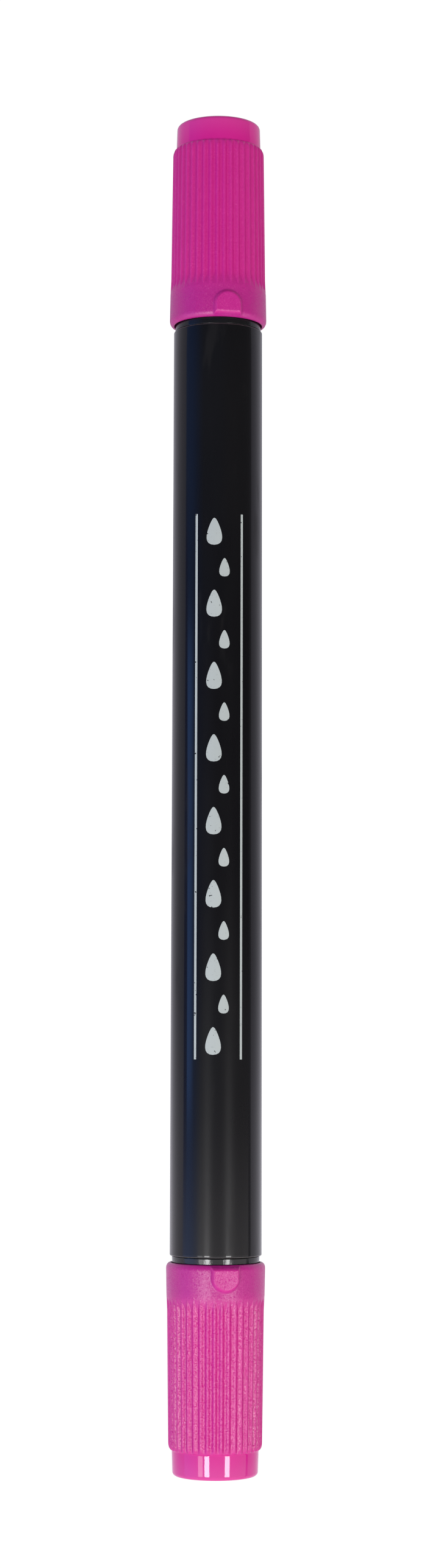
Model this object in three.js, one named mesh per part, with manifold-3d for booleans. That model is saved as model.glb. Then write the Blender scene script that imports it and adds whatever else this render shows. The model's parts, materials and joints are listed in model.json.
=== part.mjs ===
// A double-ended food-colouring marker: a tapered barrel with a fibre core inside, a fine nib at
// one end, a brush nib at the other, and a ribbed pull-off cap over each. Millimetres, +Z up.
// It lies on its cap rims with its axis along Y, the fine end towards +Y. The origin is on the
// surface that it lies on, under its middle.
import * as THREE from 'three';
import { mergeVertices } from 'three/addons/utils/BufferGeometryUtils.js';
import Module from 'manifold-3d';

const wasm = await Module();
wasm.setup();

// Driving dimensions. "Out" is away from the barrel, towards the end of a cap.
const overallLength = 145;

// Clearances that the pieces take from each other
const seatGap = 0.05; // between pieces pushed together for good
const slideGap = 0.1; // all round, between a nose section's collar or land and the cap on it
const stopGap = 0.3; // along the axis, between a cap and the step that it stops at

const barrel = {
  fineEndRadius: 4.78,
  draft: 0.085, // the brush end's radius is larger by this
  wall: 0.93,
  edge: 0.12, // chamfer of both outer ends
  ribCount: 6, // ribs in the bore, which centre the reservoir and let air past it
  ribHeight: 0.37,
  ribWidth: 0.7,
};

const reservoir = {
  wrapThickness: 0.12, // the film sleeve round the fibre
  endGap: 0.1, // to the stub at each end
  nibSunk: 4, // how far a nib's tail goes into the fibre
};

// A nose section: a stub in the barrel, the collar that a cap's mouth fits over, a body, the land
// that the inner cap seals on, and the front cone that holds the nib.
const nose = {
  stubLength: 7,
  stubWall: 1.1,
  collarStep: 0.14, // the collar's surface lies this far below the barrel's fine end
  collarLength: 4,
  beadHeight: 0.05, // ring on the collar that grips the cap's mouth
  beadLength: 0.6,
  bodyLength: 1.6,
  bodyStep: 0.15, // the body's surface lies this far below the cap shell's bore
  shoulderLength: 1,
  landLength: 2.2,
  edge: 0.25, // chamfer of the collar's and the front's outer edge
};

const fineEnd = {
  frontLength: 3.4,
  frontRadius: 1.75,
  holderWall: 0.45,
  holderShown: 0.9, // how far the nib's holder stands out of the front
  nibRadius: 0.7,
  nibShown: 1.5, // how far the nib stands out of its holder
  nibPointRadius: 0.25,
};

const brushEnd = {
  frontLength: 1.7,
  frontRadius: 2.15,
  nibRadius: 1.45,
  nibShown: 5.7,
  nibPointRadius: 0.15,
};

const cap = {
  neckShown: 0.7, // the collar shows for this length between barrel and cap
  nibRoom: 5.1, // free length past the brush nib's point
  endWall: 1.6,
  lipWall: 0.495, // wall of the smooth band at its widest
  lipFlat: 0.08, // width of the flat end face round the mouth
  lipLength: 0.6, // rounded edge of the mouth, along the axis
  bandLength: 3.4,
  bandDrop: 0.055, // the band narrows by this from the lip to the ribs
  runOutLength: 1.6, // where the ribs rise out of the band
  crestDrop: 0.125, // rib crests lie this far below the lip where they start
  crestDraft: 0.16, // and narrow by this much more up to the shoulder
  ribCount: 42,
  ribDepth: 0.24,
  shellWall: 0.71, // between a groove's floor and the shell's bore, at the narrow end
  shoulderLength: 0.8,
  shoulderDrop: 0.33,
  tipLength: 2.7, // smooth end, the inner cap's own head
  tipStep: 0.05, // the head lies this far inside the shell's end
  tipDraft: 0.06,
  tipRound: 0.45,
  tipFlare: 0.04, // the head widens by this at its foot
  tipFlareLength: 0.25,
  linerWall: 0.9,
  linerLead: 0.2, // chamfer at the inner cap's mouth
};

// The raised thumb tab on the band
const tab = {
  width: 3.2,
  length: 2.9,
  fromRim: 0.06,
  height: 0.3, // of its flat top above the band
  slopeWidth: 0.44, // the sloping edge all round the flat top
  slopeHeight: 0.22,
};

// Each cap is pushed on at any angle. Its tab faces up, turned by this many ribs towards +X, which
// leaves one of the rim's facets lying flat on the surface below.
const capTurn = 1.375;

// Worked out from the values above. Stations are measured out from the barrel's end face.
const barrelBore = barrel.fineEndRadius - barrel.wall;
const stubRadius = barrelBore - seatGap;
const collarRadius = barrel.fineEndRadius - nose.collarStep;
const mouthRadius = collarRadius + slideGap;
const rimRadius = mouthRadius + cap.lipWall;
const crestStart = rimRadius - cap.crestDrop;
const crestEnd = crestStart - cap.crestDraft;
const shellBore = crestEnd - cap.ribDepth - cap.shellWall;
const linerRadius = shellBore - seatGap;
const linerBore = linerRadius - cap.linerWall;
const landRadius = linerBore - slideGap;
const bodyRadius = shellBore - nose.bodyStep;
const bodyEnd = nose.collarLength + nose.bodyLength;
const landStart = bodyEnd + nose.shoulderLength;
const landEnd = landStart + nose.landLength;
const brushPoint = landEnd + brushEnd.frontLength + brushEnd.nibShown;
const finePoint = landEnd + fineEnd.frontLength + fineEnd.holderShown + fineEnd.nibShown;
const capEnd = Math.max(brushPoint, finePoint) + cap.nibRoom + cap.endWall;
const capLength = capEnd - cap.neckShown;
const shellLength = capLength - cap.tipLength;
const barrelLength = overallLength - 2 * capEnd;
const halfBarrel = barrelLength / 2;
const tailEnd = -nose.stubLength - reservoir.endGap - reservoir.nibSunk;
const coreHalf = halfBarrel - nose.stubLength - reservoir.endGap;
const wrapRadius = barrelBore - barrel.ribHeight - slideGap;
const coreRadius = wrapRadius - reservoir.wrapThickness - seatGap;
const holderRadius = fineEnd.nibRadius + seatGap + fineEnd.holderWall;
const ribPitch = (2 * Math.PI) / cap.ribCount;

const barrelSegments = 72;
const capSegments = 48;
const innerSegments = 32;
const nibSegments = 24;

// A closed geometry as a solid. Points that share a place are merged, and a triangle that a
// point on the axis closes up is left out.
function toSolid(geometry) {
  const bare = geometry.clone();
  bare.deleteAttribute('normal');
  bare.deleteAttribute('uv');
  const merged = mergeVertices(bare, 1e-5);
  const index = merged.index.array;
  const corners = [];
  for (let i = 0; i < index.length; i += 3) {
    const [a, b, c] = index.slice(i, i + 3);
    if (a !== b && b !== c && c !== a) corners.push(a, b, c);
  }
  return new wasm.Manifold(
    new wasm.Mesh({
      numProp: 3,
      vertProperties: new Float32Array(merged.attributes.position.array),
      triVerts: new Uint32Array(corners),
    }),
  );
}

function toGeometry(solid) {
  const mesh = solid.getMesh();
  const geometry = new THREE.BufferGeometry();
  geometry.setAttribute('position', new THREE.BufferAttribute(mesh.vertProperties, 3));
  geometry.setIndex(new THREE.BufferAttribute(mesh.triVerts, 1));
  geometry.computeVertexNormals();
  return geometry;
}

// A profile of [radius, station] pairs turned round the Y axis. It runs outwards along its outer
// side, and closes on itself unless it starts and ends on the axis.
function turned(profile, segments) {
  const points = profile.map(([radius, station]) => new THREE.Vector2(radius, station));
  if (profile[0][0] > 0) points.push(points[0].clone());
  return toSolid(new THREE.LatheGeometry(points, segments));
}

// Points of a quarter of an ellipse from [radius, station] to [radius - across, station + along],
// bulging out, without its first point.
function roundedEdge(radius, station, across, along, steps) {
  const points = [];
  for (let i = 1; i <= steps; i += 1) {
    const angle = (i / steps) * (Math.PI / 2);
    points.push([radius - across * (1 - Math.cos(angle)), station + along * Math.sin(angle)]);
  }
  return points;
}

// Tapered tube, chamfered at both ends, with holding ribs in its bore between the two stubs.
function makeBarrel() {
  const brushRadius = barrel.fineEndRadius + barrel.draft;
  const { edge } = barrel;
  let tube = turned(
    [
      [barrelBore, -halfBarrel],
      [brushRadius - edge, -halfBarrel],
      [brushRadius, -halfBarrel + edge],
      [barrel.fineEndRadius, halfBarrel - edge],
      [barrel.fineEndRadius - edge, halfBarrel],
      [barrelBore, halfBarrel],
    ],
    barrelSegments,
  );
  const rooted = barrel.wall / 2;
  const ribLength = 2 * coreHalf;
  for (let i = 0; i < barrel.ribCount; i += 1) {
    const rib = new THREE.BoxGeometry(barrel.ribWidth, ribLength, barrel.ribHeight + rooted);
    rib.translate(0, 0, barrelBore + (rooted - barrel.ribHeight) / 2);
    rib.rotateY((i / barrel.ribCount) * 2 * Math.PI);
    tube = tube.add(toSolid(rib));
  }
  return tube;
}

// Nose section: its hollow stub is open to the reservoir, and its front bore takes the nib.
function makeSection(end, frontBore) {
  const frontEnd = landEnd + end.frontLength;
  const beadStart = nose.collarLength / 2;
  const beadRadius = collarRadius + nose.beadHeight;
  const cavityRadius = stubRadius - nose.stubWall;
  const { edge } = nose;
  return turned(
    [
      [cavityRadius, -nose.stubLength],
      [stubRadius - edge, -nose.stubLength],
      [stubRadius, -nose.stubLength + edge],
      [stubRadius, seatGap],
      [collarRadius, seatGap],
      [collarRadius, beadStart],
      [beadRadius, beadStart + nose.beadLength / 3],
      [beadRadius, beadStart + (nose.beadLength * 2) / 3],
      [collarRadius, beadStart + nose.beadLength],
      [collarRadius, nose.collarLength - edge],
      [collarRadius - edge, nose.collarLength],
      [bodyRadius, nose.collarLength],
      [bodyRadius, bodyEnd],
      [landRadius, landStart],
      [landRadius, landEnd],
      [end.frontRadius, frontEnd - edge],
      [end.frontRadius - edge, frontEnd],
      [frontBore, frontEnd],
      [frontBore, bodyEnd],
      [cavityRadius, nose.collarLength - edge],
    ],
    innerSegments,
  );
}

// Tube that centres the thin nib in the fine section's front bore.
function makeNibHolder() {
  const outEnd = landEnd + fineEnd.frontLength + fineEnd.holderShown;
  const bore = fineEnd.nibRadius + seatGap;
  return turned(
    [
      [bore, nose.collarLength],
      [holderRadius, nose.collarLength],
      [holderRadius, outEnd - fineEnd.holderWall],
      [bore + fineEnd.holderWall / 2, outEnd],
      [bore, outEnd],
    ],
    nibSegments,
  );
}

// Fibre rod with a rounded point. Its tail reaches into the reservoir.
function makeNib(end, point, taper) {
  return turned(
    [
      [0, tailEnd],
      [end.nibRadius, tailEnd],
      [end.nibRadius, point - taper],
      [(end.nibRadius + end.nibPointRadius) / 2, point - taper * 0.35],
      [end.nibPointRadius, point - end.nibPointRadius / 2],
      [0, point],
    ],
    nibSegments,
  );
}

// Fibre bundle with a hole at each end where a nib's tail goes in.
function makeCore() {
  const depth = reservoir.nibSunk + reservoir.endGap;
  const fineHole = fineEnd.nibRadius + seatGap;
  const brushHole = brushEnd.nibRadius + seatGap;
  return turned(
    [
      [0, depth - coreHalf],
      [brushHole, depth - coreHalf],
      [brushHole, -coreHalf],
      [coreRadius, -coreHalf],
      [coreRadius, coreHalf],
      [fineHole, coreHalf],
      [fineHole, coreHalf - depth],
      [0, coreHalf - depth],
    ],
    innerSegments,
  );
}

function makeWrap() {
  const inner = coreRadius + seatGap;
  return turned(
    [
      [inner, -coreHalf],
      [wrapRadius, -coreHalf],
      [wrapRadius, coreHalf],
      [inner, coreHalf],
    ],
    innerSegments,
  );
}

// The ribbed outside of a cap, as rings lofted from the rim outwards. Each row is a distance from
// the rim, a crest radius and how far the ground between the ribs lies below it. Where the ground
// is shallower than a rib's flank it covers the flank, so each rib starts as a point on the band.
// A groove lies at angle 0, under the tab.
function ribbedBody(rows) {
  const perRib = 4;
  const columns = cap.ribCount * perRib;
  const grooveShape = [1, 0.32, 0, 0.32];
  const positions = [];
  for (const [along, crest, ground] of rows) {
    for (let k = 0; k < columns; k += 1) {
      const radius = crest - Math.min(ground, cap.ribDepth * grooveShape[k % perRib]);
      const angle = (k / columns) * 2 * Math.PI;
      positions.push(radius * Math.sin(angle), cap.neckShown + along, radius * Math.cos(angle));
    }
  }
  const first = rows[0][0];
  const last = rows[rows.length - 1][0];
  const rimCentre = positions.push(0, cap.neckShown + first, 0) / 3 - 1;
  const endCentre = positions.push(0, cap.neckShown + last, 0) / 3 - 1;
  const index = [];
  const lastRow = (rows.length - 1) * columns;
  for (let k = 0; k < columns; k += 1) {
    const next = (k + 1) % columns;
    for (let row = 0; row < lastRow; row += columns) {
      index.push(row + k, row + next, row + columns + next);
      index.push(row + k, row + columns + next, row + columns + k);
    }
    index.push(rimCentre, next, k);
    index.push(endCentre, lastRow + k, lastRow + next);
  }
  const geometry = new THREE.BufferGeometry();
  geometry.setAttribute('position', new THREE.Float32BufferAttribute(positions, 3));
  geometry.setIndex(index);
  return toSolid(geometry);
}

// D-shaped tab on the band, flat side to the rim and round side to the ribs. Its outline is drawn
// at its flat top, and the sloping edge widens it all round to its full size.
function makeTab() {
  const half = tab.width / 2 - tab.slopeWidth;
  const start = cap.neckShown + tab.fromRim + tab.slopeWidth;
  const roundStart = start + tab.length - tab.width / 2 - tab.slopeWidth;
  const outline = new THREE.Shape();
  outline.moveTo(-half, start);
  outline.lineTo(half, start);
  outline.lineTo(half, roundStart);
  outline.absarc(0, roundStart, half, 0, Math.PI, false);
  const root = cap.lipWall + tab.slopeHeight; // reaches into the mouth, whose bore trims it
  const raised = new THREE.ExtrudeGeometry(outline, {
    depth: root + tab.height - 2 * tab.slopeHeight,
    bevelEnabled: true,
    bevelThickness: tab.slopeHeight,
    bevelSize: tab.slopeWidth,
    bevelSegments: 1,
    curveSegments: 8,
  });
  raised.translate(0, 0, rimRadius - root + tab.slopeHeight);
  return toSolid(raised);
}

// Cap shell: smooth band with its tab at the mouth, ribs that rise out of the band and run over
// the shoulder, and a stepped bore for the collar and the inner cap.
function makeCapShell() {
  const lipStart = mouthRadius + cap.lipFlat;
  const lip = roundedEdge(rimRadius, 0, rimRadius - lipStart, cap.lipLength, 2);
  const bandEndRadius = rimRadius - cap.bandDrop;
  const ribsStart = cap.bandLength + cap.runOutLength;
  const shoulderStart = shellLength - cap.shoulderLength;
  const pointRow = 0.4; // share of the run-out where the ribs' points are still narrow
  const rows = lip.map(([radius, along]) => [cap.lipLength - along, radius, 0]).reverse();
  rows.push([cap.lipLength, rimRadius, 0]);
  rows.push([cap.bandLength, bandEndRadius, 0]);
  rows.push([
    cap.bandLength + cap.runOutLength * pointRow,
    bandEndRadius + (crestStart - bandEndRadius) * pointRow,
    (cap.ribDepth * pointRow) / 2,
  ]);
  rows.push([ribsStart, crestStart, cap.ribDepth]);
  rows.push([shoulderStart, crestEnd, cap.ribDepth]);
  for (const [radius, along] of roundedEdge(crestEnd, 0, cap.shoulderDrop, cap.shoulderLength, 2)) {
    const left = 1 - along / cap.shoulderLength;
    rows.push([shoulderStart + along, radius, cap.ribDepth * Math.sqrt(left)]);
  }
  const mouthEnd = nose.collarLength + stopGap;
  const beyond = 1;
  const bore = turned(
    [
      [0, cap.neckShown - beyond],
      [mouthRadius, cap.neckShown - beyond],
      [mouthRadius, mouthEnd],
      [shellBore, mouthEnd + (mouthRadius - shellBore)],
      [shellBore, capEnd - cap.tipLength + beyond],
      [0, capEnd - cap.tipLength + beyond],
    ],
    capSegments,
  );
  return ribbedBody(rows).add(makeTab()).subtract(bore);
}

// Inner cap: its skirt fills the shell's bore and seals on the nose section's land, and its solid
// head closes the cap.
function makeCapLiner() {
  const mouth = bodyEnd + stopGap + nose.shoulderLength;
  const headStart = capEnd - cap.tipLength + seatGap;
  const headRadius = crestEnd - cap.shoulderDrop - cap.tipStep;
  const inside = capEnd - cap.endWall;
  const topRadius = headRadius - cap.tipDraft;
  const foot = [];
  const footSteps = 2;
  for (let i = 0; i <= footSteps; i += 1) {
    const angle = (i / footSteps) * (Math.PI / 2);
    const radius = headRadius + cap.tipFlare * (1 - Math.sin(angle));
    foot.push([radius, headStart + cap.tipFlareLength * (1 - Math.cos(angle))]);
  }
  return turned(
    [
      [0, inside],
      [linerBore, inside],
      [linerBore, mouth + cap.linerLead],
      [linerBore + cap.linerLead, mouth],
      [linerRadius, mouth],
      [linerRadius, headStart],
      ...foot,
      [topRadius, capEnd - cap.tipRound],
      ...roundedEdge(topRadius, capEnd - cap.tipRound, cap.tipRound, cap.tipRound, 3),
      [0, capEnd],
    ],
    capSegments,
  );
}

const finishes = {
  barrelBlack: { color: 0x17161a, roughness: 0.25, metalness: 0 },
  noseBlack: { color: 0x101012, roughness: 0.15, metalness: 0 },
  capMagenta: { color: 0xcf2d94, roughness: 0.35, metalness: 0 },
  linerMagenta: { color: 0xd23a9a, roughness: 0.2, metalness: 0 },
  holderWhite: { color: 0xe9e8e2, roughness: 0.5, metalness: 0 },
  nibFibre: { color: 0xb3226f, roughness: 0.9, metalness: 0 },
  coreFibre: { color: 0xa61a63, roughness: 0.95, metalness: 0 },
  wrapFilm: { color: 0xe6e2e8, roughness: 0.3, metalness: 0 },
};

function piece(name, solid, finish) {
  const mesh = new THREE.Mesh(toGeometry(solid), new THREE.MeshStandardMaterial(finish));
  mesh.name = name;
  return mesh;
}

// Both end groups are built outwards from the barrel's end face. The brush end's is turned round.
const fineGroup = new THREE.Group();
fineGroup.position.y = halfBarrel;
const brushGroup = new THREE.Group();
brushGroup.position.y = -halfBarrel;
brushGroup.rotation.z = Math.PI;

const brushTaper = brushEnd.nibShown - seatGap;
fineGroup.add(
  piece('fine_section', makeSection(fineEnd, holderRadius + seatGap), finishes.noseBlack),
  piece('fine_nib_holder', makeNibHolder(), finishes.holderWhite),
  piece('fine_nib', makeNib(fineEnd, finePoint, fineEnd.nibShown), finishes.nibFibre),
);
brushGroup.add(
  piece('brush_section', makeSection(brushEnd, brushEnd.nibRadius + seatGap), finishes.noseBlack),
  piece('brush_nib', makeNib(brushEnd, brushPoint, brushTaper), finishes.nibFibre),
);

const caps = [
  [fineGroup, 'fine_cap', capTurn],
  [brushGroup, 'brush_cap', -capTurn],
];
for (const [group, name, turn] of caps) {
  const shell = piece(`${name}_shell`, makeCapShell(), finishes.capMagenta);
  shell.rotation.y = turn * ribPitch;
  const liner = piece(`${name}_liner`, makeCapLiner(), finishes.linerMagenta);
  group.add(shell, liner);
}

const pen = new THREE.Group();
pen.position.z = rimRadius;
pen.add(
  piece('barrel', makeBarrel(), finishes.barrelBlack),
  piece('reservoir_core', makeCore(), finishes.coreFibre),
  piece('reservoir_wrap', makeWrap(), finishes.wrapFilm),
  fineGroup,
  brushGroup,
);

export default pen;
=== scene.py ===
"""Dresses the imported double-ended food-colouring marker for its product picture.

Metres, +Z up. The marker lies along Y on the floor, its fine end towards +Y.
"""

import json
import math

import bmesh
import bpy
from mathutils import Matrix, Vector


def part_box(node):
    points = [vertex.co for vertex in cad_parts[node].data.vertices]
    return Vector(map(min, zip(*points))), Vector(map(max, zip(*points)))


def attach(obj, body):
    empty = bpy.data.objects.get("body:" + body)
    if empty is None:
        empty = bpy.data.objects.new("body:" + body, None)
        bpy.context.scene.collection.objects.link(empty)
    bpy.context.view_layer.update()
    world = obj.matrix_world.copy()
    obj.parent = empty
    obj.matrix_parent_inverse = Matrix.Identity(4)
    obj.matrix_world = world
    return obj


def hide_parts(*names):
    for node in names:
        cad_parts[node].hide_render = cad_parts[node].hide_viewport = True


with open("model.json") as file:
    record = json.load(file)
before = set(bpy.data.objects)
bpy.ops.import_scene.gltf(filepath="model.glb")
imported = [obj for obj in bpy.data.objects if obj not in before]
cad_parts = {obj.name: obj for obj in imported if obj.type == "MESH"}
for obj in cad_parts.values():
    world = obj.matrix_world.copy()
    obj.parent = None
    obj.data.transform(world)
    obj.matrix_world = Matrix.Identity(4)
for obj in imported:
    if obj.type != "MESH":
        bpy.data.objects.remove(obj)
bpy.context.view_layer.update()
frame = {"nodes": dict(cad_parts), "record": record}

MM = 0.001

# Camera: looks straight down on the lying marker from about 32 cm, from over its brush half,
# tilted a few degrees towards the fine end, so that end looks a little smaller.
AXIS_Z = frame["record"]["mounts"][0]["pos_m"][2]
camera_height = 317.7 * MM
camera_along = -27.3 * MM
camera_tilt = math.radians(4.99)
camera_turn = math.radians(-0.025)
camera_roll = math.radians(0.15)
focal_pixels = 4885.5
picture_height = 2576

camera_data = bpy.data.cameras.new("product_camera")
camera_data.sensor_fit = "VERTICAL"
camera_data.sensor_height = 36
camera_data.lens = focal_pixels * camera_data.sensor_height / picture_height
camera_data.clip_start = 0.01
camera_data.clip_end = 20
camera = bpy.data.objects.new("product_camera", camera_data)
camera.location = (0, camera_along, AXIS_Z + camera_height)
camera.rotation_euler = (camera_tilt, camera_turn, camera_roll)
bpy.context.scene.collection.objects.link(camera)
bpy.context.scene.camera = camera
bpy.context.scene.view_settings.view_transform = "Standard"


# Floor: a plain white sweep. Camera and see-through rays meet it white, and mirrors grey: lighter
# by the brush end, dark past the right edge. The lamps light a share of it, which keeps a soft
# shadow under the marker.
class Socket:
    """One output of a node tree. Arithmetic on it adds Math nodes to that tree."""

    def __init__(self, graph, socket):
        self.graph = graph
        self.socket = socket

    def other(self, name):
        return Socket(self.graph, self.socket.node.outputs[name])

    def math(self, operation, *others, clamp=False):
        settings = {"operation": operation, "use_clamp": clamp}
        return self.graph.node("ShaderNodeMath", settings, dict(enumerate((self, *others))))

    def __add__(self, value):
        return self.math("ADD", value)

    def __sub__(self, value):
        return self.math("SUBTRACT", value)

    def __rsub__(self, value):
        return self * -1 + value

    def __mul__(self, value):
        return self.math("MULTIPLY", value)

    def __truediv__(self, value):
        return self.math("DIVIDE", value)

    def __pow__(self, value):
        return self.math("POWER", value)

    __radd__ = __add__
    __rmul__ = __mul__


class Graph:
    """A node tree, and the one way that a node is added to it."""

    def __init__(self, tree):
        self.tree = tree

    def node(self, kind, settings=None, inputs=None, output=0):
        made = self.tree.nodes.new(kind)
        for name, value in (settings or {}).items():
            setattr(made, name, value)
        for name, value in (inputs or {}).items():
            if isinstance(value, Socket):
                self.tree.links.new(value.socket, made.inputs[name])
            else:
                made.inputs[name].default_value = value
        return Socket(self, made.outputs[output]) if made.outputs else made

    def ramp(self, value, low, high, to_low=0.0, to_high=1.0):
        """value taken smoothly from low..high to to_low..to_high."""
        ends = {"Value": value, 1: low, 2: high, 3: to_low, 4: to_high}
        return self.node("ShaderNodeMapRange", {"interpolation_type": "SMOOTHSTEP"}, ends)

    def mix(self, factor, first, second):
        """Two colours mixed."""
        inputs = {0: factor, 6: first, 7: second}
        return self.node("ShaderNodeMix", {"data_type": "RGBA"}, inputs, output=2)


class Finish(Graph):
    """A material's node tree, with a Principled surface that every finish here ends in."""

    def __init__(self, name):
        self.material = bpy.data.materials.new(name)
        self.material.use_nodes = True
        super().__init__(self.material.node_tree)
        self.tree.nodes.clear()

    def place(self, stretch=(1, 1, 1)):
        """Object coordinates in metres, multiplied by stretch."""
        where = self.node("ShaderNodeTexCoord").other("Object")
        return self.node("ShaderNodeMapping", None, {"Vector": where, "Scale": stretch})

    def coordinates(self):
        """Object x, y and z in metres, each on its own."""
        parts = self.node("ShaderNodeSeparateXYZ", None, {"Vector": self.place()})
        return parts, parts.other("Y"), parts.other("Z")

    def noise(self, size, detail=2.0, stretch=(1, 1, 1)):
        """Noise from 0 to 1 whose features are about size metres across."""
        inputs = {"Vector": self.place(stretch), "Scale": 1 / size, "Detail": detail}
        return self.node("ShaderNodeTexNoise", {"noise_dimensions": "3D"}, inputs)

    def bump(self, height, distance, strength=1.0, under=None):
        inputs = {"Height": height, "Distance": distance, "Strength": strength}
        if under:
            inputs["Normal"] = under
        return self.node("ShaderNodeBump", None, inputs)

    def facets(self, size, tilt):
        """The normal tipped at random in cells about size metres across: most cells stay nearly
        flat, and few reach the full tilt."""
        inputs = {"Vector": self.place(), "Scale": 1 / size}
        cell = self.node("ShaderNodeTexVoronoi", None, inputs, output="Color")
        middle = (0.5, 0.5, 0.5)
        tip = self.node("ShaderNodeVectorMath", {"operation": "SUBTRACT"}, {0: cell, 1: middle})
        square = self.node("ShaderNodeVectorMath", {"operation": "MULTIPLY"}, {0: tip, 1: tip})
        tip = self.node("ShaderNodeVectorMath", {"operation": "MULTIPLY"}, {0: square, 1: tip})
        normal = self.node("ShaderNodeNewGeometry").other("Normal")
        inputs = {0: tip, 1: tilt * 8, 2: normal}
        tipped = self.node("ShaderNodeVectorMath", {"operation": "MULTIPLY_ADD"}, inputs)
        return self.node("ShaderNodeVectorMath", {"operation": "NORMALIZE"}, {0: tipped})

    def surface(self, **sockets):
        inputs = {name.replace("_", " "): value for name, value in sockets.items()}
        shader = self.node("ShaderNodeBsdfPrincipled", None, inputs)
        return self.end(shader)

    def end(self, shader):
        self.node("ShaderNodeOutputMaterial", None, {"Surface": shader})
        return self.material


def add_object(name, mesh, material):
    """A mesh as an object at the origin, in one material."""
    mesh.materials.clear()
    mesh.materials.append(material)
    made = bpy.data.objects.new(name, mesh)
    bpy.context.scene.collection.objects.link(made)
    return made


WHITE = (1, 1, 1, 1)
WHITE_STRENGTH = 1.04


def floor_finish():
    paper = (0.86, 0.86, 0.86, 1)
    mirrored_near = (0.54, 0.53, 0.60, 1)
    mirrored_far = (0.40, 0.39, 0.46, 1)
    brush_near = (0.86, 0.84, 0.93, 1)
    brush_far = (0.74, 0.71, 0.80, 1)
    past_right_edge = (0.07, 0.07, 0.08, 1)
    kept_shadow = 0.05
    finish = Finish("white_sweep")
    rays = finish.node("ShaderNodeLightPath")
    seen = rays.other("Is Camera Ray") + rays.other("Is Glossy Ray")
    seen = (seen + rays.other("Is Transmission Ray")).math("MINIMUM", 1.0)
    lit = finish.node("ShaderNodeBsdfDiffuse", None, {"Color": paper})
    across, along, _ = finish.coordinates()
    away = finish.ramp(across.math("ABSOLUTE"), 5 * MM, 26 * MM)
    mirrored = finish.mix(away, mirrored_near, mirrored_far)
    brush_side = finish.ramp(along, -52 * MM, -14 * MM, 1.0, 0.0)
    mirrored = finish.mix(brush_side, mirrored, finish.mix(away, brush_near, brush_far))
    past_edge = finish.ramp(across, 50 * MM, 85 * MM)
    mirrored = finish.mix(past_edge, mirrored, past_right_edge)
    tone = finish.mix(rays.other("Is Glossy Ray"), WHITE, mirrored)
    glow = finish.node("ShaderNodeEmission", None, {"Color": tone, "Strength": WHITE_STRENGTH})
    share = seen * (1 - kept_shadow)
    return finish.end(finish.node("ShaderNodeMixShader", None, {0: share, 1: lit, 2: glow}))


floor_half = 3.0
floor_mesh = bpy.data.meshes.new("floor")
signs = [(-1, -1), (1, -1), (1, 1), (-1, 1)]
floor_corners = [(x * floor_half, y * floor_half, 0) for x, y in signs]
floor_mesh.from_pydata(floor_corners, [], [(0, 1, 2, 3)])
floor = add_object("floor", floor_mesh, floor_finish())


# Light: a room bright beyond the brush end and dim elsewhere, unlit overhead, with a blue pane low
# on the left. Over the brush end hang two bright lamps, whose reflections are the streaks on its
# cap, and a dim one beside the left. Mirrors see the dim part darker than it lights the marker.
def studio_room():
    dim_left, dim_middle = (0.06, 0.17, 0.50, 1), (0.09, 0.105, 0.13, 1)
    dim_right = (0.10, 0.10, 0.10, 1)
    unlit_left, unlit_right = (0.02, 0.045, 0.13, 1), (0.008, 0.008, 0.012, 1)
    blue_pane = (0.35, 0.85, 2.30, 1)
    left_horizon = (0.02, 0.03, 0.18, 1)
    bright_left, bright_right = (0.80, 1.0, 1.7, 1), (1.08, 1.03, 1.06, 1)
    soft_left, soft_right = (0.27, 0.31, 0.56, 1), (0.33, 0.33, 0.34, 1)
    world = bpy.data.worlds.new("studio_room")
    world.use_nodes = True
    world.node_tree.nodes.clear()
    graph = Graph(world.node_tree)
    direction = graph.node("ShaderNodeTexCoord").other("Generated")
    parts = graph.node("ShaderNodeSeparateXYZ", None, {"Vector": direction})
    across, along = parts, parts.other("Y")
    from_left = graph.ramp(across, -0.96, -0.55)
    dim = graph.mix(from_left, dim_left, dim_middle)
    dim = graph.mix(graph.ramp(across, 0.0, 0.6), dim, dim_right)
    unlit = graph.mix(graph.ramp(across, -0.8, 0.1), unlit_left, unlit_right)
    overhead = graph.ramp(along, 0.01, 0.05) * graph.ramp(along, 0.13, 0.19, 1.0, 0.0)
    dim = graph.mix(overhead, dim, unlit)
    low_left = graph.ramp(across, -0.96, -0.84, 1.0, 0.0)
    pane = low_left * graph.ramp(along, 0.125, 0.15, 1.0, 0.0) * graph.ramp(along, -0.03, -0.01)
    dim = graph.mix(pane, dim, blue_pane)
    dim = graph.mix(graph.ramp(across, -0.988, -0.978), left_horizon, dim)
    bright = graph.mix(from_left, bright_left, bright_right)
    beyond = graph.ramp(along, -0.09, -0.015, 1.0, 0.0)
    mirrored = {"Color": graph.mix(beyond, dim, bright), "Strength": 1.0}
    soft = graph.mix(graph.ramp(across, -0.9, 0.1), soft_left, soft_right)
    fill = {"Color": graph.mix(beyond, soft, bright), "Strength": 1.0}
    rays = graph.node("ShaderNodeLightPath")
    shaders = {
        0: rays.other("Is Glossy Ray"),
        1: graph.node("ShaderNodeBackground", None, fill),
        2: graph.node("ShaderNodeBackground", None, mirrored),
    }
    glow = graph.node("ShaderNodeMixShader", None, shaders)
    seen = (rays.other("Is Camera Ray") + rays.other("Is Transmission Ray")).math("MINIMUM", 1.0)
    white = {"Color": WHITE, "Strength": WHITE_STRENGTH}
    backdrop = graph.node("ShaderNodeBackground", None, white)
    glow = graph.node("ShaderNodeMixShader", None, {0: seen, 1: glow, 2: backdrop})
    graph.node("ShaderNodeOutputWorld", None, {"Surface": glow})
    return world


bpy.context.scene.world = studio_room()


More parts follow.
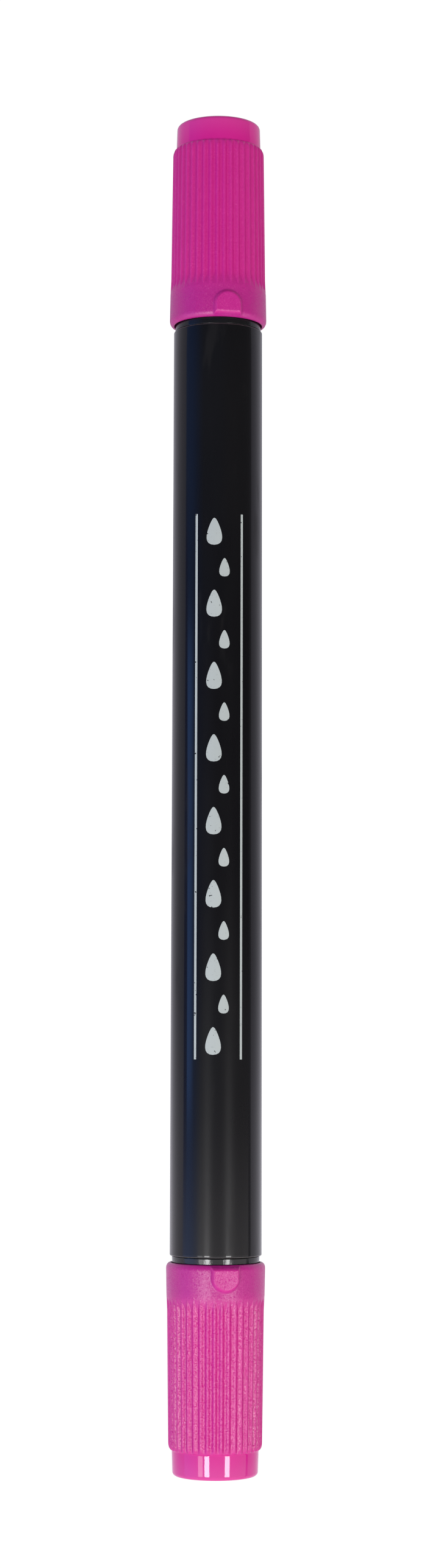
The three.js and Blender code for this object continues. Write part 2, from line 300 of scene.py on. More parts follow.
def add_lamp(name, across, height, ends, brightness, width):
    """A flat lamp over the marker, between two places along it, that faces the marker's axis."""
    near, far = ends
    length = abs(far - near)
    data = bpy.data.lights.new(name, "AREA")
    data.shape = "RECTANGLE"
    data.size = width
    data.size_y = length
    data.energy = brightness * math.pi * width * length
    away = Vector((across, 0, height)).normalized()
    along = Vector((0, 1, 0))
    turn = Matrix((along.cross(away), along, away)).transposed()
    place = Matrix.Translation((across, (near + far) / 2, AXIS_Z + height))
    lamp = bpy.data.objects.new(name, data)
    lamp.matrix_world = place @ turn.to_4x4()
    bpy.context.scene.collection.objects.link(lamp)


lamp_reach = (-86 * MM, -185 * MM)
lamp_width = 84 * MM
add_lamp("left_lamp", -140 * MM, 350 * MM, lamp_reach, 15.5, lamp_width)
add_lamp("left_side_lamp", -240 * MM, 290 * MM, lamp_reach, 3.6, lamp_width)
add_lamp("right_lamp", 203 * MM, 320 * MM, lamp_reach, 14.5, lamp_width)


# Barrel: one injection-moulded tube in black plastic with a soft sheen. It tapers by its mould's
# draft towards the fine end, and both of its ends are slightly rounded off.
def arc(centre_radius, centre_y, radius, start, stop, steps=6):
    """Points of an arc in a (radius, y) profile, from angle start to stop, in degrees."""
    points = []
    for i in range(steps + 1):
        angle = math.radians(start + (stop - start) * i / steps)
        out, up = radius * math.cos(angle), radius * math.sin(angle)
        points.append((centre_radius + out, centre_y + up))
    return points


def straight(start, end, steps):
    """Points from start towards end, without the end."""
    (r0, y0), (r1, y1) = start, end
    return [(r0 + (r1 - r0) * i / steps, y0 + (y1 - y0) * i / steps) for i in range(steps)]


def turned_mesh(name, profile, segments, outside_until=None):
    """A profile of (radius, y) in mm turned round the Y axis. It goes up along its outer side, and
    closes on itself unless it starts and ends on the axis. Points before outside_until get the
    value 1 in the attribute outside."""
    vertices = []
    rings = []
    outside = []
    for i, (radius, y) in enumerate(profile):
        first = len(vertices)
        on_axis = radius < 1e-6
        count = 1 if on_axis else segments
        for k in range(count):
            angle = 2 * math.pi * k / segments
            vertices.append((radius * math.sin(angle) * MM, y * MM, radius * math.cos(angle) * MM))
            outside.append(1.0 if outside_until and i < outside_until else 0.0)
        rings.append((first, on_axis))
    starts_on_axis = rings[0][1]
    upper_rings = rings[1:] if starts_on_axis else rings[1:] + rings[:1]
    faces = []
    for (low, low_on_axis), (high, high_on_axis) in zip(rings, upper_rings):
        for k in range(segments):
            following = (k + 1) % segments
            if low_on_axis:
                faces.append((low, high + following, high + k))
            elif high_on_axis:
                faces.append((low + k, low + following, high))
            else:
                faces.append((low + k, low + following, high + following, high + k))
    mesh = bpy.data.meshes.new(name)
    mesh.from_pydata(vertices, [], faces)
    if outside_until:
        mesh.attributes.new("outside", "FLOAT", "POINT").data.foreach_set("value", outside)
    finish_shading(mesh)
    return mesh


def finish_shading(mesh, sharp_angle=35):
    """Smooth shading, with the edges sharper than sharp_angle degrees kept sharp."""
    mesh.shade_smooth()
    mesh.set_sharp_from_angle(angle=math.radians(sharp_angle))


def set_in_place(mesh, end=1, station=0.0, turn=0.0):
    """Moves a mesh from the axis and an end's own origin to the marker. end is 1 at the fine end
    and -1 at the brush end, and turn is in radians from straight up towards +X."""
    half_turn = Matrix.Rotation(0 if end > 0 else math.pi, 4, "Z")
    about_axis = Matrix.Rotation(turn * end, 4, "Y")
    place = Matrix.Translation((0, end * station * MM, AXIS_Z))
    mesh.transform(place @ half_turn @ about_axis)


barrel_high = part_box("barrel")[1]
HALF_BARREL = barrel_high[1] / MM
BRUSH_RADIUS = barrel_high[0] / MM
mould_draft = 0.085
FINE_RADIUS = BRUSH_RADIUS - mould_draft
barrel_wall = 0.93
end_round = 0.14
barrel_bore = FINE_RADIUS - barrel_wall
brush_edge = (BRUSH_RADIUS, -HALF_BARREL + 2 * end_round)
fine_edge = (FINE_RADIUS, HALF_BARREL - end_round)
barrel_profile = [
    (barrel_bore, -HALF_BARREL),
    *arc(BRUSH_RADIUS - end_round, -HALF_BARREL + end_round, end_round, -90, 0),
    *straight(brush_edge, fine_edge, 40),
    *arc(FINE_RADIUS - end_round, HALF_BARREL - end_round, end_round, 0, 90),
    (barrel_bore, HALF_BARREL),
]


def barrel_finish():
    """Moulded black plastic: faint flow mottle, a fine polish grain and a few handling marks, and a
    pale painted highlight round the edges of both ends.
    """
    deep_black, flow_black = (0.0025, 0.0025, 0.0036, 1), (0.0050, 0.0047, 0.0056, 1)
    dust, painted_edge_highlight = (0.016, 0.015, 0.015, 1), (0.13, 0.125, 0.12, 1)
    finish = Finish("barrel_black")
    mottle = finish.noise(9 * MM, 3, (1, 0.35, 1))
    grain = finish.noise(0.12 * MM, 2)
    handling = finish.noise(2.2 * MM, 6, (1, 0.2, 1))
    marks = finish.ramp(handling, 0.60, 0.72)
    black = finish.mix(mottle, deep_black, flow_black)
    dusty = finish.mix(marks * 0.35, black, dust)
    _, y, _ = finish.coordinates()
    # A pale line painted round the rounded edges of both ends and broken up by noise: a painted
    # edge highlight.
    edge = finish.ramp(y.math("ABSOLUTE"), (HALF_BARREL - 0.12) * MM, (HALF_BARREL - 0.04) * MM)
    edge_highlight_share = edge * (0.4 + finish.noise(0.4 * MM, 3) * 0.6)
    colour = finish.mix(edge_highlight_share, dusty, painted_edge_highlight)
    rough = 0.19 + mottle * 0.06 + handling * 0.14 + marks * 0.08
    skin = finish.bump(grain, 0.0012 * MM, 0.6)
    skin = finish.bump(mottle, 0.02 * MM, 0.35, skin)
    gloss = {"Coat_Weight": 0.55 - marks * 0.2, "Coat_Roughness": 0.08, "Coat_IOR": 1.5}
    low = {"Specular_IOR_Level": 0.15, "IOR": 1.5}
    return finish.surface(Base_Color=colour, Roughness=rough, Normal=skin, **low, **gloss)


barrel_mesh = turned_mesh("barrel_tube", barrel_profile, 192)
set_in_place(barrel_mesh)
barrel = add_object("barrel_tube", barrel_mesh, barrel_finish())
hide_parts("barrel")
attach(barrel, "pen_body")


# Barrel print: a plain ornament pad-printed in light grey ink on the side that faces up, a row of
# icing drops of two sizes between two fine lines. The ink is a thin film whose underside lies just
# inside the barrel's skin, and it is chipped in a few spots.
PRINT_LENGTH = 57.9
print_width = 5.3
line_width = 0.26
line_steps = 58
drop_count = 15
drop_pitch = 3.86
drop_length = 2.9
drop_half_width = 1.5
small_drop = 0.68
drop_sway = 0.55
ink_height = 0.012
ink_thickness = 0.02
print_turn = math.radians(2.5)


def drop_outlines(length, half_width, rows=12, columns=6):
    """An icing drop in the (x, y) plane in mm, point towards +y, as small four-sided patches that
    can bend round the barrel."""
    pinch = 0.72
    widths = []
    for i in range(rows + 1):
        angle = math.pi * i / rows
        taper = ((1 - math.cos(angle)) / 2) ** 0.5
        along = -math.cos(angle) * length / 2
        widths.append((along, math.sin(angle) * (1 - taper * pinch) * half_width))
    patches = []
    for (y0, w0), (y1, w1) in zip(widths, widths[1:]):
        for k in range(columns):
            left = 2 * k / columns - 1
            right = 2 * (k + 1) / columns - 1
            corners = [(left * w0, y0), (right * w0, y0), (right * w1, y1), (left * w1, y1)]
            if w0 < 1e-6:
                corners = [(0, y0), (right * w1, y1), (left * w1, y1)]
            elif w1 < 1e-6:
                corners = [(left * w0, y0), (right * w0, y0), (0, y1)]
            patches.append(corners)
    return patches


def filled_mesh(name, outlines):
    """Flat triangles inside closed outlines of (x, y) in mm."""
    mesh = bpy.data.meshes.new(name)
    work = bmesh.new()
    for outline in outlines:
        work.faces.new([work.verts.new((x * MM, y * MM, 0)) for x, y in outline])
    bmesh.ops.triangulate(work, faces=work.faces[:])
    work.to_mesh(mesh)
    work.free()
    return mesh


def rectangle(x0, y0, x1, y1):
    return [(x0, y0), (x1, y0), (x1, y1), (x0, y1)]


def geometry_tree(name, sizes):
    """A geometry tree with named number inputs. Returns its graph, its incoming geometry and the
    inputs by name."""
    tree = bpy.data.node_groups.new(name, "GeometryNodeTree")
    tree.interface.new_socket("Geometry", in_out="INPUT", socket_type="NodeSocketGeometry")
    for size in sizes:
        tree.interface.new_socket(size, in_out="INPUT", socket_type="NodeSocketFloat")
    tree.interface.new_socket("Geometry", in_out="OUTPUT", socket_type="NodeSocketGeometry")
    graph = Graph(tree)
    incoming = graph.node("NodeGroupInput")
    return graph, incoming, {size: incoming.other(size) for size in sizes}


def end_tree(graph, geometry, material):
    """Ends a geometry tree in Realize Instances and Set Material."""
    real = graph.node("GeometryNodeRealizeInstances", None, {"Geometry": geometry})
    dressed = graph.node("GeometryNodeSetMaterial", None, {"Geometry": real, "Material": material})
    graph.node("NodeGroupOutput", None, {0: dressed})


def run_tree(name, mesh, tree, sizes):
    """The mesh as a geometry tree leaves it, as a plain mesh."""
    holder = bpy.data.objects.new(name, mesh)
    bpy.context.scene.collection.objects.link(holder)
    modifier = holder.modifiers.new(name, "NODES")
    modifier.node_group = tree
    for item in tree.interface.items_tree:
        if item.item_type == "SOCKET" and item.in_out == "INPUT" and item.name in sizes:
            modifier[item.identifier] = float(sizes[item.name])
    evaluated = holder.evaluated_get(bpy.context.evaluated_depsgraph_get())
    made = bpy.data.meshes.new_from_object(evaluated)
    holder.modifiers.clear()
    bpy.data.objects.remove(holder)
    made.name = name
    return made


def drop_row_tree(material):
    """Repeats the flat drop along Y, every second one smaller, and moves the drops to either side
    in turns.
    """
    graph, incoming, size = geometry_tree("drop_row", ["Count", "Pitch", "Small Scale", "Sway"])
    count = graph.node("FunctionNodeFloatToInt", None, {0: size["Count"]})
    step = graph.node("ShaderNodeCombineXYZ", None, {"Y": size["Pitch"]})
    spacing = {"Count": count, "Offset": step}
    places = graph.node("GeometryNodeMeshLine", {"mode": "OFFSET"}, spacing)
    number = graph.node("GeometryNodeInputIndex")
    odd = number.math("MODULO", 2.0)
    scale = 1 - odd * (1 - size["Small Scale"])
    side = (odd * 2 - 1) * size["Sway"]
    shift = graph.node("ShaderNodeCombineXYZ", None, {"X": side})
    swayed = graph.node("GeometryNodeSetPosition", None, {"Geometry": places, "Offset": shift})
    repeats = {"Points": swayed, "Instance": incoming, "Scale": scale}
    row = graph.node("GeometryNodeInstanceOnPoints", None, repeats)
    end_tree(graph, row, material)
    return graph.tree


def ink_finish():
    """Pad-printing ink: nearly even light grey, thin here and there, with a few tiny chips."""
    deep_grey, light_grey = (0.385, 0.425, 0.405, 1), (0.455, 0.50, 0.475, 1)
    thin_grey, bare_barrel = (0.19, 0.20, 0.20, 1), (0.012, 0.012, 0.014, 1)
    finish = Finish("print_ink")
    chips = finish.ramp(finish.noise(0.35 * MM, 1), 0.72, 0.75)
    cover = finish.noise(0.25 * MM, 4)
    thin = finish.ramp(cover, 0.60, 0.78)
    tone = finish.noise(6 * MM, 2)
    full = finish.mix(tone, deep_grey, light_grey)
    colour = finish.mix(thin * 0.45, full, thin_grey)
    colour = finish.mix(chips, colour, bare_barrel)
    skin = finish.bump(cover - chips * 2, 0.002 * MM, 0.5)
    return finish.surface(Base_Color=colour, Roughness=0.45 + cover * 0.15, Normal=skin)


def onto_barrel(mesh):
    """Bends a flat print round the barrel and lifts it by the ink's height."""
    for vertex in mesh.vertices:
        x, y = vertex.co.x / MM, vertex.co.y / MM
        share = (y + HALF_BARREL) / (2 * HALF_BARREL)
        radius = BRUSH_RADIUS + (FINE_RADIUS - BRUSH_RADIUS) * share + ink_height
        angle = x / radius
        vertex.co = (radius * math.sin(angle) * MM, y * MM, radius * math.cos(angle) * MM)
    mesh.transform(Matrix.Translation((0, 0, AXIS_Z)) @ Matrix.Rotation(print_turn, 4, "Y"))


ink = ink_finish()
row_length = drop_pitch * (drop_count - 1)
row_sizes = {
    "Count": drop_count,
    "Pitch": drop_pitch * MM,
    "Small Scale": small_drop,
    "Sway": drop_sway * MM,
}
flat_drop = filled_mesh("drop", drop_outlines(drop_length, drop_half_width))
drops = run_tree("print_drops", flat_drop, drop_row_tree(ink), row_sizes)
drops.transform(Matrix.Translation((0, -row_length / 2 * MM, 0)))
onto_barrel(drops)
half_print = PRINT_LENGTH / 2
side_lines = []
for side in (-1, 1):
    outer = side * print_width / 2
    inner = outer - side * line_width
    for i in range(line_steps):
        y0 = -half_print + PRINT_LENGTH * i / line_steps
        y1 = y0 + PRINT_LENGTH / line_steps
        side_lines.append(rectangle(min(outer, inner), y0, max(outer, inner), y1))
lines = filled_mesh("print_lines", side_lines)
onto_barrel(lines)
for name, mesh in (("print_drops", drops), ("print_lines", lines)):
    work = bmesh.new()
    work.from_mesh(mesh)
    bmesh.ops.remove_doubles(work, verts=work.verts[:], dist=0.001 * MM)
    bmesh.ops.recalc_face_normals(work, faces=work.faces[:])
    if sum(face.normal.z for face in work.faces) < 0:
        bmesh.ops.reverse_faces(work, faces=work.faces[:])
    bmesh.ops.solidify(work, geom=work.faces[:], thickness=ink_thickness * MM)
    bmesh.ops.recalc_face_normals(work, faces=work.faces[:])
    work.to_mesh(mesh)
    work.free()
    finish_shading(mesh)
    printed = add_object(name, mesh, ink)
    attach(printed, "pen_body")


# Nose sections: high-gloss black mouldings pressed into the barrel. Their collar shows as the
# neck beside each cap, and with a cap off they carry a bead, a sealing land and the front cone.
COLLAR_RADIUS = FINE_RADIUS - 0.14
NECK_SHOWN = 0.7
neck_gap = 0.05
collar_relief = 0.05  # its slight taper off the barrel, over the part that shows as the neck
collar_length = 4.0
stub_length = 7.0
stub_radius = barrel_bore - 0.05
stub_wall = 1.1
body_radius = 3.85
body_end = 5.6
land_start = 6.6
land_end = 8.8
land_radius = 2.95
collar_round = 0.25


def section_profile(front_length, front_radius, front_bore):
    """The section's profile in mm, out from the barrel's end face."""
    front = land_end + front_length
    bead = collar_length / 2
    bead_rise = ((0.13, 0.035), (0.3, 0.05), (0.47, 0.035), (0.6, 0.0))
    front_round = 0.3
    cavity = stub_radius - stub_wall
    cone_start = (COLLAR_RADIUS, neck_gap + 0.04)
    cone_end = (COLLAR_RADIUS - collar_relief, NECK_SHOWN + 0.2)
    return [
        (cavity, -stub_length),
        (stub_radius - collar_round, -stub_length),
        (stub_radius, -stub_length + collar_round),
        (stub_radius, neck_gap),
        *arc(COLLAR_RADIUS - 0.04, neck_gap + 0.04, 0.04, -90, 0, 3),
        *straight(cone_start, cone_end, 12)[1:],
        cone_end,
        (COLLAR_RADIUS - collar_relief, bead),
        *[(COLLAR_RADIUS + rise, bead + past) for past, rise in bead_rise],
        *arc(COLLAR_RADIUS - collar_round, collar_length - collar_round, collar_round, 0, 90),
        *arc(body_radius + 0.15, collar_length + 0.15, 0.15, -90, -180, 4),
        *arc(body_radius - 0.2, body_end - 0.1, 0.2, 0, 40, 4),
        *arc(land_radius + 0.25, land_start + 0.05, 0.25, -140, -180, 4),
        *arc(land_radius - 0.1, land_end - 0.1, 0.1, 0, 60, 4),
        *arc(front_radius - front_round, front - front_round, front_round, 20, 90),
        (front_bore + 0.08, front),
        (front_bore, front - 0.08),
        (front_bore, body_end),
        (cavity, collar_length - collar_round),
    ]


def nose_finish():
    """Polished black plastic, with the faint waviness of a moulded polish and the drag marks of
    a cap that is pushed on and pulled off."""
    finish = Finish("nose_black")
    wave = finish.noise(1.6 * MM, 2)
    grain = finish.noise(0.1 * MM, 2)
    black = finish.mix(wave, (0.005, 0.005, 0.006, 1), (0.009, 0.009, 0.010, 1))
    skin = finish.bump(grain, 0.0006 * MM, 0.4)
    skin = finish.bump(wave, 0.012 * MM, 0.4, skin)
    drag = finish.noise(0.3 * MM, 4, (1, 0.45, 1))
    skin = finish.bump(drag, 0.034 * MM, 0.5, skin)
    rough = 0.11 + wave * 0.05
    gloss = {"Specular_IOR_Level": 0.5, "IOR": 1.5}
    return finish.surface(Base_Color=black, Roughness=rough, Normal=skin, **gloss)


holder_radius = 1.2
brush_nib_radius = 1.45
nose_material = nose_finish()
for name, end, sizes in (
    ("fine_section", 1, (3.4, 1.75, holder_radius + 0.05)),
    ("brush_section", -1, (1.7, 2.15, brush_nib_radius + 0.05)),
):
    mesh = turned_mesh(name, section_profile(*sizes), 128)
    set_in_place(mesh, end, HALF_BARREL)
    section = add_object(f"{name}_moulding", mesh, nose_material)
    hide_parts(name)
    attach(section, "pen_body")


# Fine nib and its holder: a thin rod of bonded fibre with a rounded point, gripped in a natural
# white plastic tube that is pressed into the fine section's front.
fine_front = land_end + 3.4
holder_out = fine_front + 0.9
fine_radius = 0.7
fine_point = holder_out + 1.5
nib_tail = -stub_length - 0.1 - 4.0


def holder_finish():
    """Natural white plastic, stained by ink towards its mouth."""
    finish = Finish("holder_white")
    cloud = finish.noise(0.8 * MM, 4)
    grain = finish.noise(0.08 * MM, 2)
    stain = finish.ramp(cloud, 0.48, 0.72) * 0.5
    colour = finish.mix(stain, (0.80, 0.79, 0.75, 1), (0.62, 0.16, 0.36, 1))
    skin = finish.bump(grain, 0.001 * MM, 0.5)
    return finish.surface(Base_Color=colour, Roughness=0.38 + cloud * 0.12, Normal=skin)


def fibre_finish(name, light, dark):
    """Ink-soaked bonded fibre: streaks along the rod, rough, a little darker where it is wetter."""
    finish = Finish(name)
    strands = finish.noise(0.07 * MM, 3, (1, 0.04, 1))
    wet = finish.noise(1.2 * MM, 3)
    colour = finish.mix(strands * 0.6 + wet * 0.4, dark, light)
    skin = finish.bump(strands, 0.02 * MM, 0.8)
    rough = 0.62 + strands * 0.25
    return finish.surface(Base_Color=colour, Roughness=rough, Normal=skin)


bore = fine_radius + 0.05
holder_profile = [
    (bore, collar_length),
    (holder_radius, collar_length),
    *arc(holder_radius - 0.38, holder_out - 0.45, 0.38, 0, 80, 6),
    (bore + 0.05, holder_out),
    (bore, holder_out - 0.05),
]
holder_mesh = turned_mesh("nib_holder", holder_profile, 64)
set_in_place(holder_mesh, 1, HALF_BARREL)
holder = add_object("nib_holder_tube", holder_mesh, holder_finish())
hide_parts("fine_nib_holder")
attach(holder, "pen_body")

nib_light = (0.60, 0.045, 0.27, 1)
nib_dark = (0.33, 0.012, 0.12, 1)
nib_material = fibre_finish("nib_fibre", nib_light, nib_dark)
point_round = 0.25
fine_profile = [
    (0, nib_tail),
    (fine_radius, nib_tail),
    (fine_radius, holder_out + 0.15),
    *arc(fine_radius - 2.4, holder_out + 0.15, 2.4, 0, 24, 6),
    *arc(0, fine_point - point_round, point_round, 30, 90, 5)[:-1],
    (0, fine_point),
]
fine_mesh = turned_mesh("fine_nib", fine_profile, 48)
set_in_place(fine_mesh, 1, HALF_BARREL)
fine_nib = add_object("fine_nib_rod", fine_mesh, nib_material)
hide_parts("fine_nib")
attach(fine_nib, "pen_body")


# Brush nib: one soft fibre point that swells a little out of the section and runs to a fine tip.
brush_front = land_end + 1.7
brush_point = brush_front + 5.7
brush_profile = [(0, nib_tail), (brush_nib_radius, nib_tail), (brush_nib_radius, brush_front)]
tip_steps = 18
for i in range(1, tip_steps):
    share = i / tip_steps
    radius = brush_nib_radius * (1 - share**1.55) ** 0.92
    brush_profile.append((radius, brush_front + share * (brush_point - brush_front)))
brush_profile.append((0, brush_point))
brush_mesh = turned_mesh("brush_nib", brush_profile, 64)
set_in_place(brush_mesh, -1, HALF_BARREL)
brush_nib = add_object("brush_nib_point", brush_mesh, nib_material)
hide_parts("brush_nib")
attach(brush_nib, "pen_body")


# Reservoir: the fibre bundle that holds the ink, in its film wrap. Both lie hidden in the barrel,
# so the plain shapes stay and only take their finishes.
def film_finish():
    """Clear film with the ink showing through, wrinkled a little by the winding."""
    finish = Finish("wrap_film")
    crease = finish.noise(1.5 * MM, 4, (1, 0.3, 1))
    colour = finish.mix(crease, (0.62, 0.18, 0.36, 1), (0.80, 0.42, 0.58, 1))
    skin = finish.bump(crease, 0.05 * MM, 0.6)
    return finish.surface(Base_Color=colour, Roughness=0.2 + crease * 0.15, Normal=skin)


core_finish = fibre_finish("core_fibre", (0.48, 0.03, 0.20, 1), (0.24, 0.008, 0.08, 1))
for node_name, material in (("reservoir_core", core_finish), ("reservoir_wrap", film_finish())):
    cad_mesh = frame["nodes"][node_name].data
    cad_mesh.materials.clear()
    cad_mesh.materials.append(material)


# Cap shells: magenta mouldings with a smooth band and a thumb tab at the mouth, and 42 rounded
# ribs that rise out of the band in points and run over the shoulder. Their skin is spark-eroded.
rim_radius = AXIS_Z / MM
mouth_radius = COLLAR_RADIUS + 0.1
lip_start = mouth_radius + 0.08
lip_length = 0.6
band_length = 3.4
band_radius = rim_radius - 0.055
ribs_start = 5.0
crest_start = rim_radius - 0.125
crest_end = crest_start - 0.16
shell_length = 19.5
shoulder_length = 0.8
shoulder_drop = 0.33
mouth_depth = collar_length + 0.3 - NECK_SHOWN
shell_bore = 4.0
rib_count = 42
samples_per_rib = 14


def shell_outline():
    """The ribbed shell's outer side before the ribs are sunk, from the rim to its far end."""
    shoulder_start = shell_length - shoulder_length
    points = [(mouth_radius, 0.04), (mouth_radius + 0.03, 0.0)]
    lip_steps = 10
    for i in range(lip_steps + 1):
        angle = math.pi / 2 * i / lip_steps
        radius = lip_start + (rim_radius - lip_start) * math.sin(angle)
        points.append((radius, lip_length * (1 - math.cos(angle))))
    points += straight((rim_radius, lip_length), (band_radius, band_length), 46)[1:]
    points += straight((band_radius, band_length), (crest_start, ribs_start), 22)
    points += straight((crest_start, ribs_start), (crest_end, shoulder_start), 14)
    shoulder_steps = 14
    for i in range(shoulder_steps + 1):
        angle = math.pi / 2 * i / shoulder_steps
        drop = shoulder_drop * (1 - math.cos(angle))
        points.append((crest_end - drop, shoulder_start + shoulder_length * math.sin(angle)))
    return points


def rib_tree(material):
    """Sinks the grooves between the ribs into a shell's outer side, and raises its thumb tab."""
    names = ["Rib Count", "Rib Depth", "Band End", "Run Out", "Shoulder Start", "Shoulder Length"]
    names += ["Tab Top", "Tab Half Width", "Tab Start", "Tab Round Start", "Tab Slope"]
    graph, incoming, size = geometry_tree("ribbed_shell", names)
    position = graph.node("GeometryNodeInputPosition")
    x = graph.node("ShaderNodeSeparateXYZ", None, {"Vector": position})
    y, z = x.other("Y"), x.other("Z")
    angle = x.math("ARCTAN2", z)
    radius = (x * x + z * z) ** 0.5
    wave = (angle * size["Rib Count"] * 0.5).math("SINE").math("POWER", 2)
    softness = 0.75
    soft_join = 0.03 * MM
    round_rib = (wave * (1 - softness) + softness).math("SQRT")
    groove = (1 - round_rib) * size["Rib Depth"] / (1 - softness**0.5)
    past = ((y - size["Shoulder Start"]) / size["Shoulder Length"]).math("MAXIMUM", 0.0)
    fading = (1 - past * past).math("MAXIMUM", 0.0) ** 0.5
    rise = graph.ramp(y, size["Band End"], size["Band End"] + size["Run Out"])
    ground = rise * size["Rib Depth"]
    groove = (groove * fading).math("SMOOTH_MIN", ground, soft_join)
    beyond = (y - size["Tab Round Start"]).math("MAXIMUM", 0.0)
    reach = (x * x + beyond * beyond) ** 0.5
    inside = (size["Tab Half Width"] - reach).math("MINIMUM", y - size["Tab Start"])
    facing = z.math("GREATER_THAN", 0.0)
    raised = graph.ramp(inside, 0.0, size["Tab Slope"]) * facing
    top = size["Tab Top"] / angle.math("COSINE").math("MAXIMUM", 0.5)
    ribbed = radius - groove
    wanted = ribbed + (top - ribbed) * raised
    attribute = {"data_type": "FLOAT"}
    outside = graph.node("GeometryNodeInputNamedAttribute", attribute, {"Name": "outside"})
    move = (wanted - radius) * outside
    outwards = {"X": angle.math("SINE") * move, "Z": angle.math("COSINE") * move}
    offset = graph.node("ShaderNodeCombineXYZ", None, outwards)
    moved = graph.node("GeometryNodeSetPosition", None, {"Geometry": incoming, "Offset": offset})
    end_tree(graph, moved, material)
    return graph.tree


RIM_PLACE = HALF_BARREL + NECK_SHOWN


def cap_finish():
    """Magenta plastic with a spark-eroded skin: a fine even grain that glitters under a lamp. The
    colour is deeper on the band by the rim, and paler again on the tab, which alone stands out past
    the rim: partly its thicker plastic, partly painted light that lifts the shade on its slopes.
    Handling has polished down the grain on the fine end's ribs."""
    magenta, magenta_flow = (0.585, 0.008, 0.236, 1), (0.625, 0.014, 0.26, 1)
    rim_band_magenta, tab_thick_and_painted_light = (0.475, 0.007, 0.222, 1), (0.555, 0.008, 0.242, 1)
    finish = Finish("cap_magenta")
    coarse = finish.noise(0.32 * MM, 2)
    flow = finish.noise(5 * MM, 2)
    x, y, z = finish.coordinates()
    up = z - AXIS_Z
    out = (x * x + up * up).math("SQRT")
    # Paler on the tab: partly its thicker plastic, partly painted light on the tab's shaded slopes.
    thick = finish.ramp(out, (rim_radius + 0.02) * MM, (rim_radius + 0.22) * MM)
    rim_band_colour = finish.mix(thick, rim_band_magenta, tab_thick_and_painted_light)
    # Deeper on the band by the rim, fading out between 2.4 and 5.4 mm from it.
    from_rim = y.math("ABSOLUTE") - RIM_PLACE * MM
    past_rim_band = finish.ramp(from_rim, 2.4 * MM, 5.4 * MM)
    colour = finish.mix(past_rim_band, rim_band_colour, finish.mix(flow, magenta, magenta_flow))
    ribbed = finish.ramp(from_rim, (band_length - 0.3) * MM, ribs_start * MM)
    crisp = ribbed * finish.ramp(y, -10 * MM, 10 * MM, 1.0, 0.0)
    skin = finish.facets(0.08 * MM, 0.18 - ribbed * 0.03 + crisp * 0.14)
    rough = 0.32 + coarse * 0.1 - crisp * 0.06
    gloss = {"Specular_IOR_Level": 0.68, "IOR": 1.5}
    return finish.surface(Base_Color=colour, Roughness=rough, Normal=skin, **gloss)


rib_depth = 0.24
tab_width = 3.2
tab_start = 0.06
tab_length = 2.9
tab_height = 0.3
tab_slope = 0.47
shell_sizes = {
    "Rib Count": rib_count,
    "Rib Depth": rib_depth * MM,
    "Band End": band_length * MM,
    "Run Out": (ribs_start - band_length) * MM,
    "Shoulder Start": (shell_length - shoulder_length) * MM,
    "Shoulder Length": shoulder_length * MM,
    "Tab Top": (rim_radius + tab_height) * MM,
    "Tab Half Width": tab_width / 2 * MM,
    "Tab Start": tab_start * MM,
    "Tab Round Start": (tab_start + tab_length - tab_width / 2) * MM,
    "Tab Slope": tab_slope * MM,
}
cap_material = cap_finish()
shell_tree = rib_tree(cap_material)
outline = shell_outline()
shell_profile = [
    *outline,
    (shell_bore, shell_length),
    (shell_bore, mouth_depth + mouth_radius - shell_bore),
    (mouth_radius, mouth_depth),
]
rib_pitch = 2 * math.pi / rib_count
CAP_TURN = 1.375 * rib_pitch
shell_segments = rib_count * samples_per_rib
for end, side in ((1, "fine"), (-1, "brush")):
    blank = turned_mesh("shell_blank", shell_profile, shell_segments, len(outline))
    mesh = run_tree(f"{side}_cap_ribbed_shell", blank, shell_tree, shell_sizes)
    finish_shading(mesh, 50)
    set_in_place(mesh, end, RIM_PLACE, CAP_TURN)
    shell = add_object(f"{side}_cap_ribbed_shell", mesh, cap_material)
    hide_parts(f"{side}_cap_shell")
    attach(shell, f"{side}_cap")


# Inner caps: smooth glossy mouldings in the same magenta. The skirt seals on the nose section,
# and the solid head closes the cap, with a small fillet at its foot, a rounded end and the
# shallow dish in which the mould's gate was cut off.
head_radius = crest_end - shoulder_drop - 0.05
head_draft = 0.06
head_length = 2.7
end_wall = 1.6
liner_radius = shell_bore - 0.05
liner_bore = liner_radius - 0.9
liner_mouth = 6.2
foot_flare = 0.04
foot_length = 0.25
dish_radius = 1.2
dish_depth = 0.16
gate_radius = 0.4


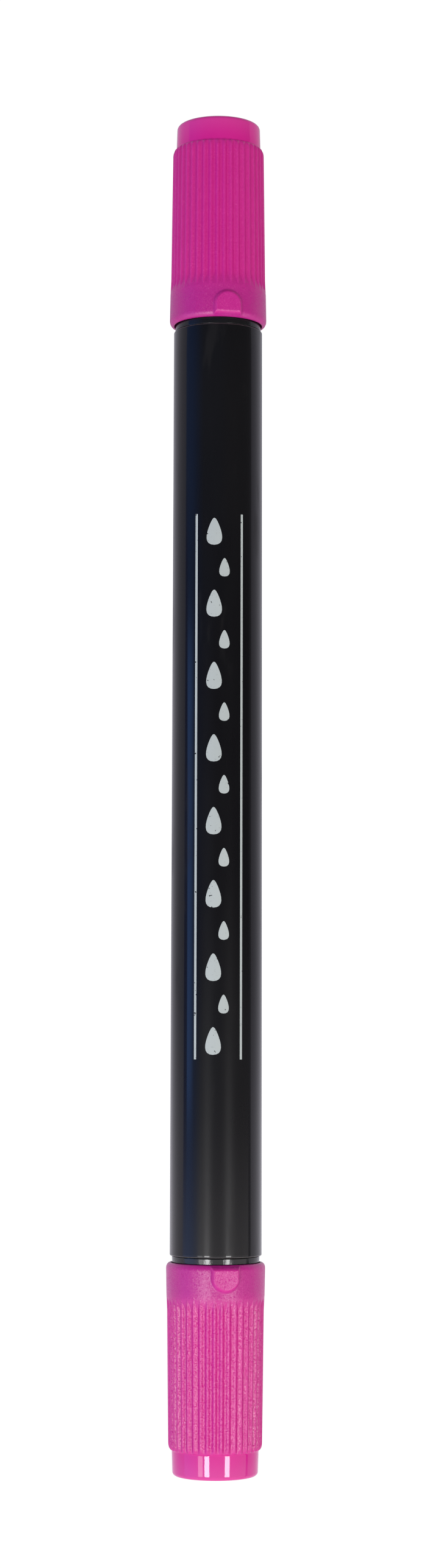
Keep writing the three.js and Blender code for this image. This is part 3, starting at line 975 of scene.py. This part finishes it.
def liner_profile():
    """The inner cap's profile in mm, from the shell's rim outwards."""
    seam = 0.004
    foot = shell_length + seam
    top = shell_length + head_length
    top_radius = head_radius - head_draft
    top_round = 0.45
    inside = top - end_wall
    flare = []
    flare_steps = 8
    for i in range(flare_steps + 1):
        angle = math.pi / 2 * i / flare_steps
        radius = head_radius + foot_flare * (1 - math.sin(angle))
        flare.append((radius, foot + foot_length * (1 - math.cos(angle))))
    return [
        (0, inside),
        (liner_bore - 0.3, inside),
        (liner_bore, inside - 0.3),
        (liner_bore, liner_mouth + 0.2),
        (liner_bore + 0.2, liner_mouth),
        (liner_radius - 0.15, liner_mouth),
        (liner_radius, liner_mouth + 0.15),
        (liner_radius, foot),
        *flare,
        *straight((head_radius, foot + foot_length + 0.05), (top_radius, top - top_round), 8),
        *arc(top_radius - top_round, top - top_round, top_round, 0, 90, 12),
        (dish_radius + 0.1, top),
        (dish_radius, top - 0.04),
        (dish_radius - 0.12, top - dish_depth),
        (gate_radius + 0.06, top - dish_depth),
        (gate_radius, top - dish_depth + 0.08),
        (gate_radius - 0.1, top - dish_depth + 0.1),
        (0, top - dish_depth + 0.08),
    ]


def liner_finish():
    """The same magenta from a polished mould: glossy, with a faint slow waviness. The head is
    painted a little paler towards its rounded end: painted light there."""
    deep, light, end_painted_light = (0.60, 0.012, 0.236, 1), (0.64, 0.016, 0.262, 1), (0.64, 0.040, 0.28, 1)
    finish = Finish("liner_magenta")
    wave = finish.noise(2.2 * MM, 2)
    grain = finish.noise(0.09 * MM, 2)
    _, y, _ = finish.coordinates()
    foot = RIM_PLACE + shell_length
    # Painted light: the head's colour turns paler towards its rounded end.
    end_light_share = finish.ramp(y.math("ABSOLUTE"), foot * MM, (foot + head_length) * MM)
    colour = finish.mix(end_light_share, finish.mix(wave, deep, light), end_painted_light)
    skin = finish.bump(grain, 0.0004 * MM, 0.5)
    skin = finish.bump(wave, 0.006 * MM, 0.2, skin)
    rough = 0.05 + wave * 0.03
    return finish.surface(Base_Color=colour, Roughness=rough, IOR=1.5, Normal=skin)


liner_material = liner_finish()
for end, side in ((1, "fine"), (-1, "brush")):
    mesh = turned_mesh(f"{side}_inner_cap", liner_profile(), 160)
    set_in_place(mesh, end, RIM_PLACE, CAP_TURN)
    liner = add_object(f"{side}_inner_cap", mesh, liner_material)
    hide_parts(f"{side}_cap_liner")
    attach(liner, f"{side}_cap")
